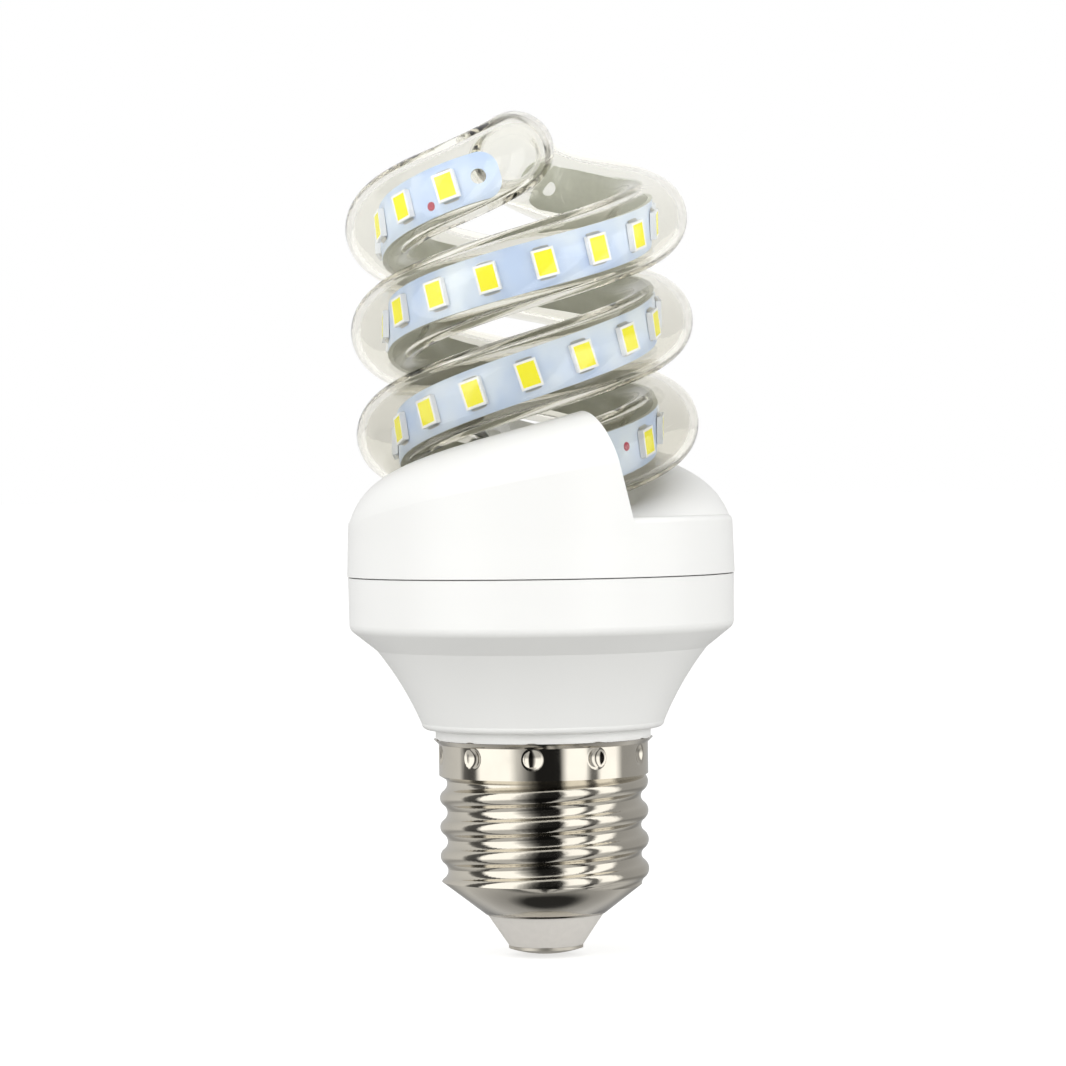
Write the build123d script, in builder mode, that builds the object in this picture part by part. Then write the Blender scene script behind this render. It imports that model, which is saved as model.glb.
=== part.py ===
from build123d import *
import os
from math import cos, pi, radians, sin, sqrt

# Spiral LED bulb on an E27 screw cap: a clear glass double helix with an LED board in each strand,
# held in a white cap with two helical hoods, over a housing with the driver inside.
# Millimetres, +Z up, origin at the tip of the centre contact, front towards -Y.
# Angles round an axis are degrees from the front, growing towards +X: coil, hoods and thread all
# climb with the angle.

# Centre contact and insulator
CONTACT_D = 9.3
CONTACT_DOME = 0.75  # height of the domed face
CONTACT_RIM = 0.35  # straight rim above the dome
STEM_D = 3.0
STEM_BORE = 1.5
STEM_H = 6.0
INSULATOR_RIM_D = 14.6
INSULATOR_H = 3.9  # visible cone, from the contact to the shell
INSULATOR_PLUG_H = 3.4  # part that grips inside the shell

# E27 screw shell, rolled from sheet
THREAD_MAJOR_D = 26.05
THREAD_DEPTH = 0.925
THREAD_PITCH = 3.629
THREAD_CREST_RISE = 5.45  # first whole crest on the +X side, above the shell's bottom edge
THREAD_GAP = 0.12  # between the feet of two turns of the ridge
SHEET = 0.35
SHELL_MOUTH_D = 15.0
SHELL_CONE_SLOPE = 1.3  # growth of the radius with the height
SHELL_H = 21.9
COLLAR_PROUD = 0.05  # collar over the thread's crests
COLLAR_H = 4.5
COLLAR_STEP = 0.6  # height of the slope under the collar
RIM_FLARE = 0.625  # rim over the collar
RIM_H = 0.6
DIMPLE_COUNT = 10
DIMPLE_D = 2.5
DIMPLE_DEPTH = 0.5
DIMPLE_LIP_R = 0.5
DIMPLE_DROP = 1.9  # below the shell's top edge
DIMPLE_TURN = -6.0

# Lower housing
WALL = 1.6
NECK_WALL = 1.825
NECK_RING_STEP = 0.375  # ring over the collar
NECK_RING_H = 1.25
FLARE_STEP = 1.75  # flare's bottom edge over the ring
FLARE_EDGE_R = 0.8
FLARE_H = 9.9
FLARE_HOLLOW = 0.36  # how far the flare bows inwards
SHOULDER_H = 2.7  # sloped band between the flare and the side
SHOULDER_RUN = 3.4  # how far the band widens the housing on each side
SHOULDER_EDGE_R = 1.3
HOUSING_SIDE_H = 6.45
HOUSING_DRAFT = 0.1  # side's lean over its height
LEDGE = 1.1  # step that the driver board rests on

# Upper cap and its hoods
SEAM = 0.15
SEAM_STEP = 0.1  # housing's side, set in under the cap's edge
CAP_D = 48.4
CAP_DRAFT = 0.2  # skirt's lean over its height
CAP_H = 7.2
CAP_EDGE_R = 0.8
CAP_RIM_WALL = 1.2  # plug that snaps into the housing and holds the driver board down
CAP_RIM_ROOT = 2.0
HOOD_R = 7.2
HOOD_PROUD = 0.05  # hoods, trimmed just proud of the skirt's top edge
HOOD_TRIM = 0.05
HOOD_PITCH = 27.6
HOOD_MOUTH_H = 13.15  # centre of the mouth above the seam
HOOD_MOUTH_ANGLE = 24.0
HOOD_TURN = 185.0
HOOD_MOUTH_WALL = 6.0  # degrees of solid wall behind the mouth

# Glass tube, measured in its own frame: it is cemented a little off the lamp's axis and leans
TUBE_D = 9.96
TUBE_WALL = 1.1
COIL_INSET = 0.5  # strand's radius inside that of the hoods
COIL_PITCH = 25.68
COIL_TURN = 481.0  # from the hood's mouth to the start of the top bend
COIL_LIFT = 0.25  # strand's centre over the mouth's centre, at the mouth
TUBE_INSIDE = 46.0  # degrees of tube inside the hood
BRIDGE_H = 39.65  # centre of the top bridge above the mouths
BRIDGE_TURN = 132.0  # how far the tube turns before it crosses the axis
BRIDGE_SHARE = 0.5  # second bend's length as a share of the first
TUBE_SHIFT = -1.2
TUBE_LEAN = 2.4

# LED boards
BOARD_W = 5.9
BOARD_T = 0.6
BOARD_OFFSET = -0.1  # board's middle against the tube's centreline, outwards
BOARD_END_R = 10.0  # bend of the board's top end
BOARD_END_TURN = 50.0
BOARD_END_ROUND = 2.3
BOARD_HOLE_D = 1.9
BOARD_HOLE_IN = 2.6
BOARD_TAIL = 13.0  # degrees of board past the tube's open end
BOARD_LEAN = 1.8  # each board lies askew in its strand, one to each side
LED_COUNT = 20
LED_PITCH = 6.95
LED_FIRST = 6.5  # first package from the board's top end
LED_W = 2.8
LED_L = 3.5
LED_H = 0.75
PHOSPHOR_W = 2.25
PHOSPHOR_L = 2.9
PHOSPHOR_H = 0.4

# Driver board and its parts
DRIVER_T = 1.2
BULK_CAP_D = 8.0
BULK_CAP_H = 14.0
CHOKE_D = 8.0
CHOKE_H = 8.5
CHOKE_CORE_D = 4.0
CHOKE_FLANGE = 1.2
CHOKE_WIRE_D = 7.0
FILM_CAP_SIZE = (10.0, 4.5, 8.0)
FUSE_D = 3.4
FUSE_L = 9.0
BRIDGE_SIZE = (4.7, 3.9, 2.5)
CHIP_SIZE = (4.9, 3.9, 1.5)
DIODE_SIZE = (4.5, 2.6, 2.2)
RESISTOR_SIZE = (3.2, 1.6, 0.6)
LEAD_D = 1.2
NEUTRAL_LEAD_REACH = 5.0  # down the shell, below the neck
STRIP_LEAD_D = 0.9

# Clearances
SEAT = 0.02  # between faces that rest on each other
FIT = 0.1  # between pieces that plug into each other
TUBE_FIT = 0.45  # tube in its hole, filled by the seal
CAVITY_FIT = 0.62  # tube in the hollow of the hood

os.makedirs("parts", exist_ok=True)

# Heights of the stack, from the contact up
contact_top = CONTACT_DOME + CONTACT_RIM
insulator_bottom = contact_top + SEAT
insulator_rim_z = insulator_bottom + INSULATOR_H
shell_bottom = insulator_rim_z + SEAT
shell_top = shell_bottom + SHELL_H
ring_bottom = shell_top + SEAT
flare_bottom = ring_bottom + NECK_RING_H
flare_top = flare_bottom + FLARE_H
shoulder_top = flare_top + SHOULDER_H
housing_top = shoulder_top + HOUSING_SIDE_H
seam_z = housing_top + SEAM
mouth_z = seam_z + HOOD_MOUTH_H

# Radii that follow from the cap's width
cap_r = CAP_D / 2
cap_top_r = cap_r - CAP_DRAFT
side_r = cap_r - SEAM_STEP
shoulder_r = side_r - HOUSING_DRAFT
flare_top_r = shoulder_r - SHOULDER_RUN
hood_out_r = cap_top_r + HOOD_PROUD
hood_path_r = hood_out_r + HOOD_TRIM - HOOD_R
coil_r = hood_path_r - COIL_INSET

# Frame of the glass tube and everything inside it
tube_place = Location((TUBE_SHIFT, 0, mouth_z), (0, -TUBE_LEAN, 0))
half_turns = (0, 180)


def around(radius, angle, height):
    """Point at a radius and an angle from the front, growing towards +X."""
    return Vector(radius * sin(radians(angle)), -radius * cos(radians(angle)), height)


def climb(radius, pitch, zero_angle, zero_height, start, end):
    """Helix from start to end degrees, which passes zero_height at zero_angle."""
    with BuildLine() as line:
        Helix(pitch=pitch, height=pitch * (end - start) / 360, radius=radius)
    height = zero_height + pitch * (start - zero_angle) / 360
    return line.edge().moved(Location((0, 0, height), (0, 0, start - 90)))


def climb_tangent(radius, pitch, angle):
    """Direction of a helix at an angle."""
    run = 2 * pi * radius
    return Vector(run * cos(radians(angle)), run * sin(radians(angle)), pitch).normalized()


def section_plane(path, inward):
    """Plane across the start of a path, with x away from the axis and y up."""
    return Plane(origin=path @ 0, x_dir=-inward, z_dir=-(path % 0))


def strand(radius, start, end):
    """Helix of the strand that leaves the front hood, in the tube's frame, degrees from the mouth."""
    mouth = HOOD_MOUTH_ANGLE
    return climb(radius, COIL_PITCH, mouth, COIL_LIFT, mouth + start, mouth + end)


def strand_point(radius, angle):
    """Point of that strand, degrees from the mouth."""
    return around(radius, HOOD_MOUTH_ANGLE + angle, COIL_LIFT + COIL_PITCH * angle / 360)


def inwards(angle):
    """Level direction towards the axis, from an angle round it."""
    return -around(1, angle, 0)


# Centre contact: domed face, rim and hollow stem
with BuildPart() as centre_contact:
    with BuildSketch(Plane.XZ):
        with BuildLine():
            ThreePointArc((0, 0), (CONTACT_D / 4, CONTACT_DOME / 4), (CONTACT_D / 2, CONTACT_DOME))
            Line((CONTACT_D / 2, CONTACT_DOME), (CONTACT_D / 2, contact_top))
            Line((CONTACT_D / 2, contact_top), (0, contact_top))
            Line((0, contact_top), (0, 0))
        make_face()
    revolve(axis=Axis.Z)
    with Locations((0, 0, contact_top)):
        Cylinder(STEM_D / 2, STEM_H, align=(Align.CENTER, Align.CENTER, Align.MIN))
        Cylinder(STEM_BORE / 2, STEM_H, align=(Align.CENTER, Align.CENTER, Align.MIN), mode=Mode.SUBTRACT)

# Screw shell: plain sleeve with a helical ridge, coned at the bottom, collar and rim at the top
crest_r = THREAD_MAJOR_D / 2
root_r = crest_r - THREAD_DEPTH
knuckle_r = (THREAD_PITCH / 2) ** 2 / (4 * THREAD_DEPTH) + THREAD_DEPTH / 4
sleeve_r = root_r + THREAD_GAP**2 / knuckle_r
collar_r = crest_r + COLLAR_PROUD
shell_rim_r = collar_r + RIM_FLARE
mouth_r = SHELL_MOUTH_D / 2
collar_bottom = shell_top - COLLAR_H
sheet_level = SHEET * sqrt(1 + SHELL_CONE_SLOPE**2)  # sheet measured level, on the cone
bore_r = sleeve_r - SHEET
bore_bottom = shell_bottom + (bore_r - mouth_r + sheet_level) / SHELL_CONE_SLOPE
collar_bore_r = collar_r - SHEET
thread_start = shell_bottom + THREAD_CREST_RISE - THREAD_PITCH
thread_end = collar_bottom + THREAD_PITCH / 2
thread_turn = 360 * (thread_end - thread_start) / THREAD_PITCH
ridge_path = climb(root_r, THREAD_PITCH, 90, thread_start, 90, 90 + thread_turn)
foot = (THREAD_PITCH - THREAD_GAP) / 2
dimple_r = (DIMPLE_D**2 / 4 + DIMPLE_DEPTH**2) / (2 * DIMPLE_DEPTH)
dimple_out = collar_r + dimple_r - DIMPLE_DEPTH
dimple_z = shell_top - DIMPLE_DROP
dimple_angles = [DIMPLE_TURN + i * 360 / DIMPLE_COUNT for i in range(DIMPLE_COUNT)]
dimple_places = [Location(around(dimple_out, a, dimple_z), (0, 0, a - 90)) for a in dimple_angles]

# Backs of the dimples, pressed in from the collar's sheet
with BuildPart() as dimple_backs:
    with Locations(*dimple_places):
        Sphere(dimple_r + SHEET)
    Cylinder(collar_r - SHEET / 2, 2 * shell_top, mode=Mode.INTERSECT)

with BuildPart() as screw_shell:
    with BuildSketch(Plane.XZ):
        with BuildLine():
            Polyline(
                (0, shell_bottom),
                (sleeve_r, shell_bottom),
                (sleeve_r, collar_bottom - COLLAR_STEP),
                (collar_r, collar_bottom),
                (collar_r, shell_top - RIM_H),
                (shell_rim_r, shell_top),
                (0, shell_top),
                close=True,
            )
        make_face()
    revolve(axis=Axis.Z)
    with BuildSketch(section_plane(ridge_path, inwards(90))):
        with BuildLine():
            low = Line((-SHEET, -foot), (0, -foot))
            low_flank = RadiusArc(low @ 1, (THREAD_DEPTH / 2, -THREAD_PITCH / 4), knuckle_r)
            crest = ThreePointArc(low_flank @ 1, (THREAD_DEPTH, 0), (THREAD_DEPTH / 2, THREAD_PITCH / 4))
            high_flank = RadiusArc(crest @ 1, (0, foot), knuckle_r)
            Polyline(high_flank @ 1, (-SHEET, foot), (-SHEET, -foot))
        make_face()
    sweep(path=ridge_path, is_frenet=True)
    with BuildSketch(Plane.XZ):
        with BuildLine():
            Polyline(
                (mouth_r, shell_bottom),
                (shell_rim_r, shell_bottom + (shell_rim_r - mouth_r) / SHELL_CONE_SLOPE),
                (shell_rim_r, shell_bottom - THREAD_PITCH),
                (mouth_r, shell_bottom - THREAD_PITCH),
                close=True,
            )
        make_face()
    revolve(axis=Axis.Z, mode=Mode.SUBTRACT)
    with BuildSketch(Plane.XZ):
        with BuildLine():
            Polyline(
                (0, shell_bottom),
                (mouth_r - sheet_level, shell_bottom),
                (bore_r, bore_bottom),
                (bore_r, collar_bottom - COLLAR_STEP + SHEET),
                (collar_bore_r, collar_bottom + SHEET),
                (collar_bore_r, shell_top),
                (0, shell_top),
                close=True,
            )
        make_face()
    revolve(axis=Axis.Z, mode=Mode.SUBTRACT)
    add(dimple_backs.part)
    with Locations(*dimple_places):
        Sphere(dimple_r, mode=Mode.SUBTRACT)
    fillet(screw_shell.edges(Select.LAST), DIMPLE_LIP_R)

# Insulator: cone under the shell's edge, waist through its mouth, plug that grips inside the cone
plug_top = shell_bottom + INSULATOR_PLUG_H
waist_r = mouth_r - sheet_level - FIT
plug_r = waist_r + SHELL_CONE_SLOPE * INSULATOR_PLUG_H
with BuildPart() as cap_insulator:
    with BuildSketch(Plane.XZ):
        with BuildLine():
            Polyline(
                (STEM_D / 2 + FIT, insulator_bottom),
                (CONTACT_D / 2, insulator_bottom),
                (INSULATOR_RIM_D / 2, insulator_rim_z),
                (waist_r, insulator_rim_z),
                (waist_r, shell_bottom),
                (plug_r, plug_top),
                (STEM_D / 2 + FIT, plug_top),
                close=True,
            )
        make_face()
    revolve(axis=Axis.Z)

# Lower housing: neck in the collar, flare, shoulder and side, one wall thick, open at the top
neck_r = collar_bore_r - FIT
neck_bottom = collar_bottom + SHEET + FIT
neck_bore_r = neck_r - NECK_WALL
ring_r = collar_r + NECK_RING_STEP
flare_r = ring_r + FLARE_STEP
flare_start = flare_bottom + FLARE_EDGE_R
side_bore_r = side_r - WALL
ledge_r = side_bore_r - LEDGE
with BuildPart() as lower_housing:
    with BuildSketch(Plane.XZ):
        with BuildLine():
            neck = Polyline(
                (neck_bore_r, neck_bottom),
                (neck_r, neck_bottom),
                (neck_r, ring_bottom),
                (ring_r, ring_bottom),
                (ring_r, flare_bottom),
                (flare_r - FLARE_EDGE_R, flare_bottom),
            )
            edge = RadiusArc(neck @ 1, (flare_r, flare_start), -FLARE_EDGE_R)
            flare = SagittaArc(edge @ 1, (flare_top_r, flare_top), FLARE_HOLLOW)
            outside = Polyline(flare @ 1, (shoulder_r, shoulder_top), (side_r, housing_top))
            inside = Polyline(
                outside @ 1,
                (side_bore_r, housing_top),
                (side_bore_r, shoulder_top),
                (ledge_r, shoulder_top),
                (flare_top_r - WALL, flare_top),
            )
            inner_flare = SagittaArc(inside @ 1, (flare_r - WALL, flare_start), -FLARE_HOLLOW)
            Polyline(inner_flare @ 1, (neck_bore_r, flare_bottom), (neck_bore_r, neck_bottom))
        make_face()
    revolve(axis=Axis.Z)
    shoulder_rings = lower_housing.edges().filter_by_position(Axis.Z, shoulder_top - SEAT, shoulder_top + SEAT)
    fillet(shoulder_rings.sort_by(SortBy.RADIUS)[-1], SHOULDER_EDGE_R)
    with Locations(*dimple_places):
        Sphere(dimple_r + SHEET + FIT, mode=Mode.SUBTRACT)

# One hood: a round roof on two straight legs, swept up to its mouth
hood_path = climb(
    hood_path_r, HOOD_PITCH, HOOD_MOUTH_ANGLE, mouth_z, HOOD_MOUTH_ANGLE - HOOD_TURN, HOOD_MOUTH_ANGLE
)
hood_leg = HOOD_MOUTH_H + WALL
with BuildPart() as hood:
    with BuildSketch(section_plane(hood_path, inwards(HOOD_MOUTH_ANGLE - HOOD_TURN))):
        Circle(HOOD_R)
        Rectangle(2 * HOOD_R, hood_leg, align=(Align.CENTER, Align.MAX))
    sweep(path=hood_path, is_frenet=True)
    Cylinder(hood_out_r, 4 * mouth_z, mode=Mode.INTERSECT)

# Room for the tube inside a hood, with a slot down to the driver, and the round hole in its mouth
tube_r = TUBE_D / 2
cavity_low = -TUBE_INSIDE - 1.5 * BOARD_TAIL
cavity_slot = HOOD_MOUTH_H - CAP_H + 2 * WALL
cavity_path = strand(coil_r, cavity_low, -HOOD_MOUTH_WALL)
with BuildPart() as hood_cavity:
    with BuildSketch(section_plane(cavity_path, inwards(HOOD_MOUTH_ANGLE + cavity_low))):
        Circle(tube_r + CAVITY_FIT)
        Rectangle(TUBE_D - 2 * TUBE_WALL, cavity_slot, align=(Align.CENTER, Align.MAX))
    sweep(path=cavity_path, is_frenet=True)

hole_path = strand(coil_r, -2 * HOOD_MOUTH_WALL, 3 * HOOD_MOUTH_WALL)
with BuildPart() as tube_hole:
    with BuildSketch(section_plane(hole_path, inwards(HOOD_MOUTH_ANGLE - 2 * HOOD_MOUTH_WALL))):
        Circle(tube_r + TUBE_FIT)
    sweep(path=hole_path, is_frenet=True)

# Upper cap: flat-topped skirt with two hoods, hollow, with a rim that plugs into the housing
driver_bottom = shoulder_top + SEAT
driver_top = driver_bottom + DRIVER_T
rim_bottom = driver_top + SEAT
rim_r = side_bore_r - FIT
rim_bore_r = rim_r - CAP_RIM_WALL
cap_top = seam_z + CAP_H
with BuildPart() as upper_cap:
    with BuildSketch(Plane.XZ):
        with BuildLine():
            skirt = Polyline((0, seam_z), (cap_r, seam_z), (cap_top_r, cap_top - CAP_EDGE_R))
            edge = RadiusArc(skirt @ 1, (cap_top_r - CAP_EDGE_R, cap_top), -CAP_EDGE_R)
            Polyline(edge @ 1, (0, cap_top), (0, seam_z))
        make_face()
    revolve(axis=Axis.Z)
    for turn in half_turns:
        add(hood.part.rotate(Axis.Z, turn))
    with Locations((0, 0, seam_z)):
        Cylinder(CAP_D, HOOD_PITCH, align=(Align.CENTER, Align.CENTER, Align.MAX), mode=Mode.SUBTRACT)
    with BuildSketch(Plane.XZ):
        with BuildLine():
            Polyline(
                (rim_bore_r, rim_bottom),
                (rim_r, rim_bottom),
                (rim_r, seam_z + CAP_RIM_ROOT),
                (rim_bore_r, seam_z + CAP_RIM_ROOT),
                close=True,
            )
        make_face()
    revolve(axis=Axis.Z)
    with BuildSketch(Plane.XZ):
        with BuildLine():
            Polyline(
                (0, rim_bottom),
                (rim_bore_r, rim_bottom),
                (rim_bore_r, seam_z + CAP_RIM_ROOT),
                (cap_top_r - WALL, seam_z + CAP_RIM_ROOT + CAP_RIM_WALL),
                (cap_top_r - WALL, cap_top - WALL),
                (0, cap_top - WALL),
                close=True,
            )
        make_face()
    revolve(axis=Axis.Z, mode=Mode.SUBTRACT)
    for turn in half_turns:
        place = tube_place * Rotation(0, 0, turn)
        add(hood_cavity.part.moved(place), mode=Mode.SUBTRACT)
        add(tube_hole.part.moved(place), mode=Mode.SUBTRACT)

# Glass tube: half of it climbs from a hood and bends over the top to the axis, the other half is the
# same half turned round
top_angle = HOOD_MOUTH_ANGLE + COIL_TURN
bend_start = strand_point(coil_r, COIL_TURN)
bend_from = climb_tangent(coil_r, COIL_PITCH, top_angle)
bridge = Vector(0, 0, BRIDGE_H)
bridge_heading = radians(top_angle + BRIDGE_TURN)
bend_to = Vector(cos(bridge_heading), sin(bridge_heading), 0)
reach = bridge - bend_start
along = reach.dot(bend_from + bend_to * BRIDGE_SHARE)
spread = 2 * BRIDGE_SHARE * (1 - bend_from.dot(bend_to))
first_run = (sqrt(along**2 + spread * reach.dot(reach)) - along) / spread
second_run = BRIDGE_SHARE * first_run
first_corner = bend_start + bend_from * first_run
second_corner = bridge - bend_to * second_run
bend_joint = (first_corner * second_run + second_corner * first_run) * (1 / (first_run + second_run))
tube_start = strand(coil_r, -TUBE_INSIDE, COIL_TURN)
with BuildLine() as half_tube_path:
    add(tube_start)
    TangentArc(bend_start, bend_joint, tangent=bend_from)
    TangentArc(bend_joint, bridge, tangent=second_corner - first_corner)

with BuildPart() as coil:
    with BuildSketch(section_plane(tube_start, inwards(HOOD_MOUTH_ANGLE - TUBE_INSIDE))):
        Circle(tube_r)
        Circle(tube_r - TUBE_WALL, mode=Mode.SUBTRACT)
    sweep(path=half_tube_path.wire())
    add(coil.part.rotate(Axis.Z, 180))

with BuildPart() as spiral_tube:
    add(coil.part.moved(tube_place))

# Seal: silicone ring between the tube and the hole in the hood's mouth
seal_path = strand(coil_r, -HOOD_MOUTH_WALL, HOOD_MOUTH_WALL / 3)
with BuildPart() as tube_seal:
    with BuildSketch(section_plane(seal_path, inwards(HOOD_MOUTH_ANGLE - HOOD_MOUTH_WALL))):
        Circle(tube_r + TUBE_FIT - SEAT)
        Circle(tube_r + SEAT, mode=Mode.SUBTRACT)
    sweep(path=seal_path, is_frenet=True)

# LED board: a flat strip that follows the strand and bends off into the tube's top bend
board_r = coil_r + BOARD_OFFSET
board_low = -TUBE_INSIDE - BOARD_TAIL
board_helix = strand(board_r, board_low, COIL_TURN)
board_turn_length = sqrt((2 * pi * board_r) ** 2 + COIL_PITCH**2)
end_start = strand_point(board_r, COIL_TURN)
end_tangent = climb_tangent(board_r, COIL_PITCH, top_angle)
end_inward = inwards(top_angle)
end_centre = end_start + end_inward * BOARD_END_R
end_length = BOARD_END_R * radians(BOARD_END_TURN)
with BuildLine(Plane(origin=end_centre, x_dir=-end_inward, z_dir=end_tangent.cross(end_inward))) as end_arc:
    CenterArc((0, 0), BOARD_END_R, 0, BOARD_END_TURN)
board_path = Wire([board_helix, end_arc.edge()])


def board_place(from_top, above):
    """Plane on the board, a length from its top end: x along it, y across it, z outwards."""
    if from_top < end_length:
        turned = (end_length - from_top) / BOARD_END_R
        outward = end_tangent * sin(turned) - end_inward * cos(turned)
        tangent = end_tangent * cos(turned) + end_inward * sin(turned)
        middle = end_centre + outward * BOARD_END_R
    else:
        angle = COIL_TURN - 360 * (from_top - end_length) / board_turn_length
        outward = -inwards(HOOD_MOUTH_ANGLE + angle)
        tangent = climb_tangent(board_r, COIL_PITCH, HOOD_MOUTH_ANGLE + angle)
        middle = strand_point(board_r, angle)
    return Plane(origin=middle + outward * above, x_dir=tangent, z_dir=outward)


with BuildPart() as led_board:
    with BuildSketch(section_plane(board_helix, inwards(HOOD_MOUTH_ANGLE + board_low))):
        Rectangle(BOARD_T, BOARD_W)
    sweep(path=board_path, is_frenet=True)
    top_end = led_board.faces().sort_by_distance(board_path @ 1)[0]
    corners = top_end.edges().filter_by(lambda e: e.length < (BOARD_T + BOARD_W) / 2)
    fillet(corners, BOARD_END_ROUND)
    with Locations(board_place(BOARD_HOLE_IN, 0).location):
        Cylinder(BOARD_HOLE_D / 2, 2 * BOARD_W, mode=Mode.SUBTRACT)

# LED packages on the board's face, each a white frame with a phosphor-filled well
led_seat = BOARD_T / 2 + SEAT
led_stations = [LED_FIRST + i * LED_PITCH for i in range(LED_COUNT)]
well_floor = led_seat + LED_H - PHOSPHOR_H
on_floor = (Align.CENTER, Align.CENTER, Align.MIN)
with BuildPart() as led_packages:
    with Locations(*[board_place(s, led_seat).location for s in led_stations]):
        Box(LED_W, LED_L, LED_H, align=on_floor)
    with Locations(*[board_place(s, well_floor).location for s in led_stations]):
        Box(PHOSPHOR_W, PHOSPHOR_L, LED_H, align=on_floor, mode=Mode.SUBTRACT)

with BuildPart() as led_phosphors:
    with Locations(*[board_place(s, well_floor).location for s in led_stations]):
        Box(PHOSPHOR_W, PHOSPHOR_L, PHOSPHOR_H, align=on_floor)

# Everything on the boards is made twice, half a turn apart, and lies askew in its strand
wire_r = board_r - BOARD_T / 2 - SEAT - STRIP_LEAD_D / 2
lean = radians(TUBE_LEAN)
board_pivot = Location((0, 0, BRIDGE_H / 2))
for number, turn in enumerate(half_turns, start=1):
    askew = BOARD_LEAN if turn == 0 else -BOARD_LEAN
    board_turn = board_pivot * Rotation(0, askew, 0) * board_pivot.inverse() * Rotation(0, 0, turn)
    # Two wires from the inner face of the board's tail down to the driver board
    with BuildPart() as strip_leads:
        for share in (1 / 4, 3 / 4):
            tail_point = strand_point(wire_r, -TUBE_INSIDE - share * BOARD_TAIL)
            top = (board_turn * Location(tail_point)).position
            bottom = (driver_top + FIT - mouth_z - top.X * sin(lean)) / cos(lean)
            with Locations(tube_place * Location((top.X, top.Y, bottom))):
                Cylinder(STRIP_LEAD_D / 2, top.Z + BOARD_W / 4 - bottom, align=on_floor)
    for name, piece, place in (
        ("strip_leads", strip_leads, Location()),
        ("led_strip", led_board, tube_place * board_turn),
        ("led_packages", led_packages, tube_place * board_turn),
        ("led_phosphors", led_phosphors, tube_place * board_turn),
        ("tube_seal", tube_seal, tube_place * Rotation(0, 0, turn)),
    ):
        placed = piece.part.moved(place)
        placed.label = f"{name}_{number}"
        export_step(placed, f"parts/{name}_{number}.step")

# Driver board, held between the housing's ledge and the cap's rim
with BuildPart() as driver_board:
    with Locations((0, 0, driver_bottom)):
        Cylinder(side_bore_r - FIT, DRIVER_T, align=on_floor)

# Parts that hang under the driver board, in the flare
under = driver_bottom - SEAT
hanging = (Align.CENTER, Align.CENTER, Align.MAX)
with BuildPart() as bulk_capacitor:
    with Locations((BULK_CAP_D / 2 + LEAD_D, BULK_CAP_D / 4, under)):
        Cylinder(BULK_CAP_D / 2, BULK_CAP_H, align=hanging)
    fillet(bulk_capacitor.edges().sort_by(Axis.Z)[0], BULK_CAP_D / 10)

choke_at = (-0.75 * CHOKE_D, 0.75 * CHOKE_D, under)
with BuildPart() as choke_core:
    with Locations(choke_at):
        Cylinder(CHOKE_D / 2, CHOKE_FLANGE, align=hanging)
        Cylinder(CHOKE_CORE_D / 2, CHOKE_H, align=hanging)
    with Locations((choke_at[0], choke_at[1], under - CHOKE_H + CHOKE_FLANGE)):
        Cylinder(CHOKE_D / 2, CHOKE_FLANGE, align=hanging)

with BuildPart() as choke_winding:
    with Locations((choke_at[0], choke_at[1], under - CHOKE_FLANGE - SEAT)):
        Cylinder(CHOKE_WIRE_D / 2, CHOKE_H - 2 * (CHOKE_FLANGE + SEAT), align=hanging)
        Cylinder(CHOKE_CORE_D / 2 + SEAT, CHOKE_H, align=hanging, mode=Mode.SUBTRACT)

with BuildPart() as film_capacitor:
    with Locations((0, -FILM_CAP_SIZE[0], under)):
        Box(*FILM_CAP_SIZE, align=hanging)
    fillet(film_capacitor.edges().filter_by(Axis.Z), FILM_CAP_SIZE[1] / 5)

with BuildPart() as fuse_resistor:
    with Locations((3 * FUSE_D, -2 * FUSE_D, under)):
        Cylinder(FUSE_D / 2, FUSE_L, align=hanging)
    fillet(fuse_resistor.edges().sort_by(Axis.Z)[0], FUSE_D / 4)

# Flat parts on top of the driver board
over = driver_top + SEAT
with BuildPart() as bridge_rectifier:
    with Locations((-2 * BRIDGE_SIZE[0], 0, over)):
        Box(*BRIDGE_SIZE, align=on_floor)

with BuildPart() as driver_chip:
    with Locations((0, -CHIP_SIZE[0], over)):
        Box(*CHIP_SIZE, align=on_floor)

with BuildPart() as output_diode:
    with Locations((2 * DIODE_SIZE[0], 0, over)):
        Box(*DIODE_SIZE, align=on_floor)

with BuildPart() as chip_resistors:
    with Locations((0, RESISTOR_SIZE[0], over)):
        with GridLocations(2 * RESISTOR_SIZE[0], 2 * RESISTOR_SIZE[1], 2, 2):
            Box(*RESISTOR_SIZE, align=on_floor)

# Wires to the cap: live down the axis into the contact's stem, neutral down the neck to the shell
with BuildPart() as live_lead:
    with Locations((0, 0, contact_top + SEAT)):
        Cylinder(LEAD_D / 2, under - contact_top - SEAT, align=on_floor)

lead_r = neck_bore_r - LEAD_D / 2 - FIT
shell_touch_r = bore_r - LEAD_D / 2 - SEAT
bend_top = neck_bottom - LEAD_D
bend_bottom = bend_top - 2 * LEAD_D
with BuildPart() as neutral_lead:
    with BuildLine() as neutral_path:
        FilletPolyline(
            (-lead_r, 0, under),
            (-lead_r, 0, bend_top),
            (-shell_touch_r, 0, bend_bottom),
            (-shell_touch_r, 0, bend_bottom - NEUTRAL_LEAD_REACH),
            radius=2 * LEAD_D,
        )
    with BuildSketch(Plane(origin=neutral_path.wire() @ 0, z_dir=neutral_path.wire() % 0)):
        Circle(LEAD_D / 2)
    sweep(path=neutral_path.wire())

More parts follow.
